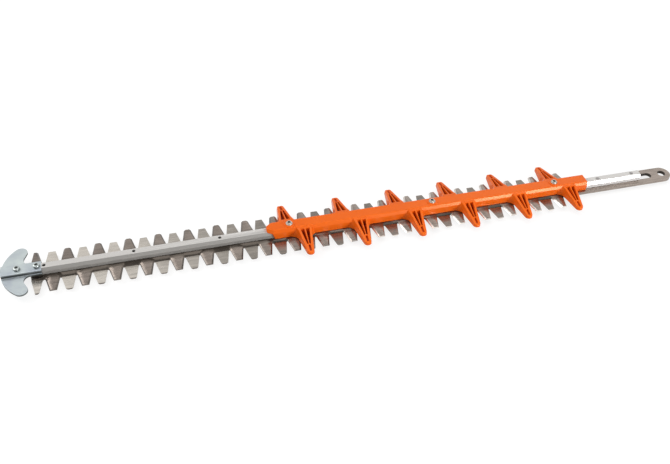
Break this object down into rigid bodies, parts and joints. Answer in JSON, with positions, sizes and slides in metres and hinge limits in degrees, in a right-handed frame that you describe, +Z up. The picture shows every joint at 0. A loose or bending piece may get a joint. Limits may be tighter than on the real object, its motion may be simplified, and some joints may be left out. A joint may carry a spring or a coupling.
{
  "type": "hedge trimmer blade",
  "caption": "Double-sided hedge trimmer cutter bar: two sliding toothed blades under a guide rail, with a moulded fanged guard over the rear half and a crescent guard at the tip.",
  "frame": {"origin": "on the underside of the guide rail, midway between the two holes that take the gearbox's screws", "axes": "+X along the bar towards the machine, +Y across the bar, +Z up from the blades towards the rail's top"},
  "size_m": [0.8576, 0.0896, 0.0249],
  "materials": {
    "rail_aluminium": "drawn, satin",
    "blade_steel": "ground and oiled",
    "guard_plastic": "moulded, soft gloss",
    "plated_steel": "zinc plated",
    "bolt_steel": "plain steel"
  },
  "bodies": {
    "frame": {"guide_rail": "rail_aluminium", "blade_guard": "guard_plastic", "tip_guard": "plated_steel", "guard_screw_front": "plated_steel", "guard_screw_middle": "plated_steel", "guard_screw_rear": "plated_steel", "tip_screw_front": "plated_steel", "tip_screw_rear": "plated_steel", "blade_bolt_1": "bolt_steel", "blade_bolt_2": "bolt_steel", "blade_bolt_3": "bolt_steel", "blade_bolt_4": "bolt_steel", "blade_bolt_5": "bolt_steel", "blade_bolt_6": "bolt_steel", "blade_bolt_7": "bolt_steel", "thrust_washer_1": "bolt_steel", "thrust_washer_2": "bolt_steel", "thrust_washer_3": "bolt_steel", "thrust_washer_4": "bolt_steel", "thrust_washer_5": "bolt_steel", "thrust_washer_6": "bolt_steel", "thrust_washer_7": "bolt_steel"},
    "upper_blade": {"upper_blade": "blade_steel"},
    "lower_blade": {"lower_blade": "blade_steel"}
  },
  "joints": [
    {"name": "upper_blade_slide", "type": "slide", "parent": "frame", "child": "upper_blade", "axis": [1, 0, 0], "range_m": [-0.00875, 0.00875]},
    {"name": "lower_blade_slide", "type": "slide", "parent": "frame", "child": "lower_blade", "axis": [1, 0, 0], "range_m": [-0.00875, 0.00875]}
  ]
}
